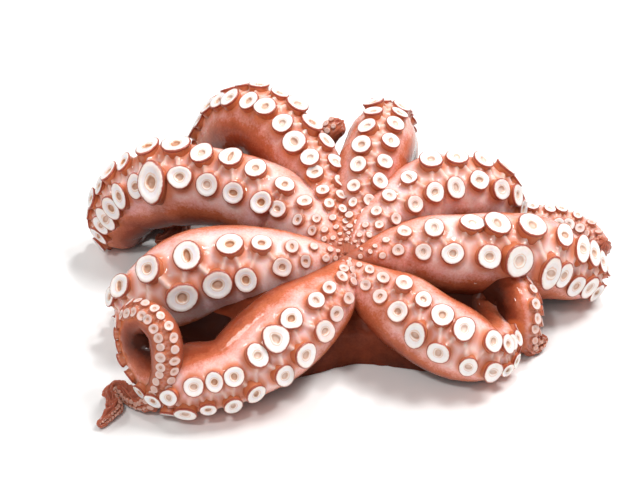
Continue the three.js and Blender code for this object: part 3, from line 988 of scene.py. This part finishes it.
def flesh_colour(tree):
    """Bands along the profile, with a faint or a deep hole, the deep one with painted lavender shade in its
    dish, pinker on the thin ends, stained.
    """
    band = calculate(tree, "ADD", attribute(tree, "band"), wander(tree, 0.06, 500.0), clamp=True)
    outside = [(0.0, STALK), (0.26, UNDER), (0.34, RIM), (0.46, RIM), (0.5, WHITE), (0.57, CUSHION)]
    shaded_dish = [(0.64, DISH_SHADE), (0.7, DISH_SHADE), (0.73, RING), (0.765, WHITE)]
    hole = [(0.8, HOLE_EDGE), (0.88, HOLE_DEEP), (1.0, HOLE_EDGE)]
    flat = [(0.7, CUSHION), (0.73, RING), (0.77, CUSHION), (0.85, RING), (1.0, WHITE)]
    # The first ramp, for suckers in shade, has painted lavender shade in the dish and a deeper orange hole;
    # the second is the plain lit look.
    deep, faint = ramp(tree, band, outside + shaded_dish + hole), ramp(tree, band, outside + flat)
    colour = blend(tree, attribute(tree, "hole"), faint, deep)
    pinker = calculate(tree, "MULTIPLY", attribute(tree, "thin"), 0.85)
    colour = blend(tree, pinker, colour, PINK_CUSHION)
    stain = ramp(tree, noise(tree, 220.0, 4.0), [(0.45, UNCHANGED), (0.75, STAIN)])
    return blend(tree, 0.4, colour, stain, "MULTIPLY")


def sucker_flesh(name):
    """Flesh of the suckers: paler and less glossy than skin, with light let in about 3 mm deep."""
    material, tree, shader = new_material(name)
    grain = bump(tree, 0.3, 0.0003, noise(tree, 900.0))
    finish_shader(tree, shader, flesh_colour(tree), grain, uneven_gloss(tree, 300.0, 0.3, 0.48), {
        "Subsurface Weight": 0.35, "Subsurface Radius": (1.0, 0.6, 0.45), "Subsurface Scale": 0.003,
        "Coat Weight": 0.35, "Coat Roughness": 0.15, "Coat IOR": 1.36,
    })
    return material


flesh = sucker_flesh("sucker_flesh")
print("nodes in the flesh:", len(flesh.node_tree.nodes))

# %% Dress the pieces and stand them for the solid
DRESSED = [(skins, skin), ([body, *webs], web_skin_material), (cushions, flesh)]
for pieces, material in DRESSED:
    for piece in pieces:
        piece.data.materials.append(material)
        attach(piece, "root")
        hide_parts("octopus")
print("pieces:", sum(len(pieces) for pieces, _ in DRESSED))

# %% [markdown]
# ## Table, light and camera
#
# The octopus lies on a plain white table, so bright that it has no edge. Most of the light comes
# from above and the right, as from a window, and a white room fills the shade. One big light would
# give wet skin broad dull highlights, so a few small ones put bright points on the folds.

# %% Table
FLOOR_HALF, FLOOR_LEVEL = 6.0, -0.0002
corners = [(x * FLOOR_HALF, y * FLOOR_HALF, FLOOR_LEVEL) for x, y in ((-1, -1), (1, -1), (1, 1), (-1, 1))]
floor_mesh = bpy.data.meshes.new("table_top")
floor_mesh.from_pydata(corners, [], [(0, 1, 2, 3)])
table_top = bpy.data.objects.new("table_top", floor_mesh)
bpy.context.scene.collection.objects.link(table_top)
white, _, white_shader = new_material("white_table")
white_shader.inputs["Base Color"].default_value = (0.93, 0.93, 0.92, 1)
white_shader.inputs["Roughness"].default_value = 0.45
floor_mesh.materials.append(white)
print("table top:", 2 * FLOOR_HALF, "m wide")

# %% Light
world = bpy.data.worlds.new("white_room")
world.use_nodes = True
room_light = world.node_tree.nodes["Background"].inputs
room_light["Color"].default_value = (1, 1, 1, 1)
room_light["Strength"].default_value = 0.22
bpy.context.scene.world = world


def soft_light(name, place, towards, size, power):
    """A square light of size metres and power watts at place, aimed at towards."""
    lamp = bpy.data.lights.new(name, "AREA")
    lamp.size = size
    lamp.energy = power
    holder = bpy.data.objects.new(name, lamp)
    holder.location = place
    holder.rotation_euler = (Vector(towards) - Vector(place)).to_track_quat("-Z", "Y").to_euler()
    bpy.context.scene.collection.objects.link(holder)


soft_light("window_light", (0.55, 0.05, 1.2), (0, 0, 0.03), 0.4, 12)
soft_light("front_light", (-0.1, -1.2, 1.3), (0, 0, 0.03), 0.8, 4.5)
soft_light("left_glow", (-0.8, 0.45, 1.0), (0, 0, 0.05), 0.25, 3.5)
soft_light("sparkle_behind", (0.25, 0.5, 1.2), (0, 0, 0.05), 0.16, 7)
soft_light("sparkle_front", (-0.35, -0.7, 1.1), (0, 0, 0.05), 0.14, 4.5)
bpy.context.scene.view_settings.view_transform = "Standard"
print("lights:", [lamp.name for lamp in bpy.data.lights])

# %% Camera
ELEVATION = np.radians(35)
LENS, AWAY = 85, 0.9067  # millimetres, and metres from the target
TARGET = Vector((-0.019, -0.0064, 0.040))
camera_data = bpy.data.cameras.new("camera")
camera_data.lens = LENS
camera = bpy.data.objects.new("camera", camera_data)
camera.location = TARGET + AWAY * Vector((0, -np.cos(ELEVATION), np.sin(ELEVATION)))
camera.rotation_euler = (np.pi / 2 - ELEVATION, 0, 0)
bpy.context.scene.collection.objects.link(camera)
bpy.context.scene.camera = camera
print("camera at:", tuple(round(value, 3) for value in camera.location))
